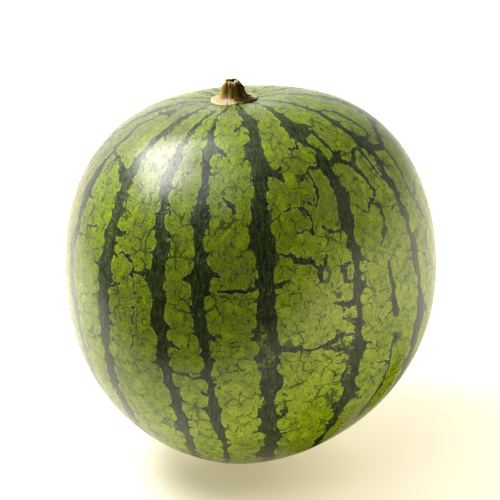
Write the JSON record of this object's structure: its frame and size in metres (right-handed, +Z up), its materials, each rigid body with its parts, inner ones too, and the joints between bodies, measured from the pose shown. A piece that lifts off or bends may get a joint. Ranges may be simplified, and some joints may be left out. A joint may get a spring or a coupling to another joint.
{
  "type": "watermelon",
  "caption": "Small round striped watermelon, whole, standing on a flat spot at its blossom end, with a short ridged stub of stalk on a corky collar on top.",
  "frame": {"origin": "middle of the flat spot the fruit rests on, at the blossom end", "axes": "+Z up along the core to the stalk, -Y towards the side with the widest stripe, +X to that side's right"},
  "size_m": [0.1201, 0.1204, 0.1242],
  "materials": {
    "rind": "satin, faintly waxy",
    "stalk": "dry and matt"
  },
  "bodies": {
    "root": {"melon": "rind", "stalk": "stalk"}
  },
  "joints": []
}
